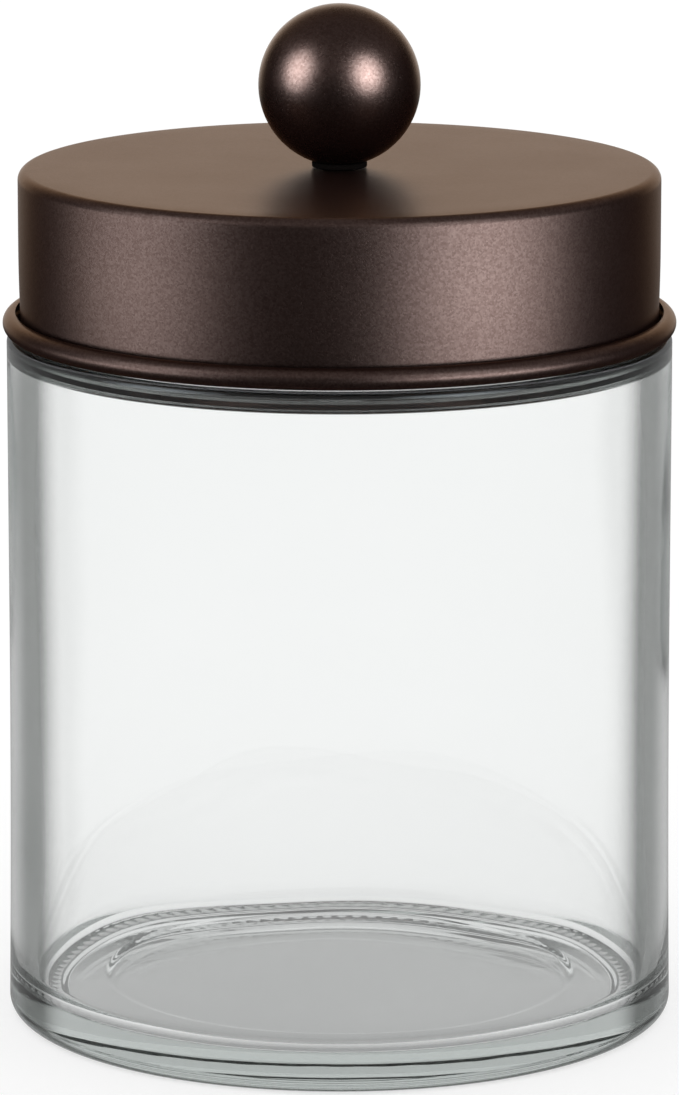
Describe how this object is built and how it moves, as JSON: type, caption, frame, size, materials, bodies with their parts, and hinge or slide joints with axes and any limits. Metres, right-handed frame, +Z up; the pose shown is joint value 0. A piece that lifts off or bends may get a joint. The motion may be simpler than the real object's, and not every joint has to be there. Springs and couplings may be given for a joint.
{
  "type": "apothecary jar",
  "caption": "Straight-sided round glass jar with a hidden neck and a slip-on metal lid that lifts off by its ball knob.",
  "frame": {"origin": "centre of the base, on the plane that the jar stands on", "axes": "+Z up along the jar's own axis, out through the mouth and the knob; the jar is round, so X and Y are free"},
  "size_m": [0.081, 0.081, 0.1231],
  "materials": {
    "clear_glass": "polished clear soda-lime glass with a faint grey-green edge",
    "lid_bronze": "satin brown bronze coating with fine metallic flake on steel sheet",
    "knob_bronze": "the lid's bronze coating, darker and glossier on the ball",
    "seal_silicone": "matt black silicone",
    "seat_nylon": "matt black nylon",
    "zinc_steel": "bright zinc-plated steel"
  },
  "bodies": {
    "jar": {"jar_glass": "clear_glass"},
    "seal": {"lid_seal_ring": "seal_silicone"},
    "lid": {"lid_shell": "lid_bronze", "knob_ball": "knob_bronze", "knob_seat_washer": "seat_nylon", "knob_flat_washer": "zinc_steel", "knob_spring_washer": "zinc_steel", "knob_screw": "zinc_steel"}
  },
  "joints": [
    {"name": "lid_lift", "type": "slide", "parent": "jar", "child": "seal", "axis": [0, 0, 1], "range_m": [0, 0.06]},
    {"name": "lid_turn", "type": "hinge", "parent": "seal", "child": "lid", "pos_m": [0, 0, 0.08365], "axis": [0, 0, 1], "continuous": true}
  ]
}
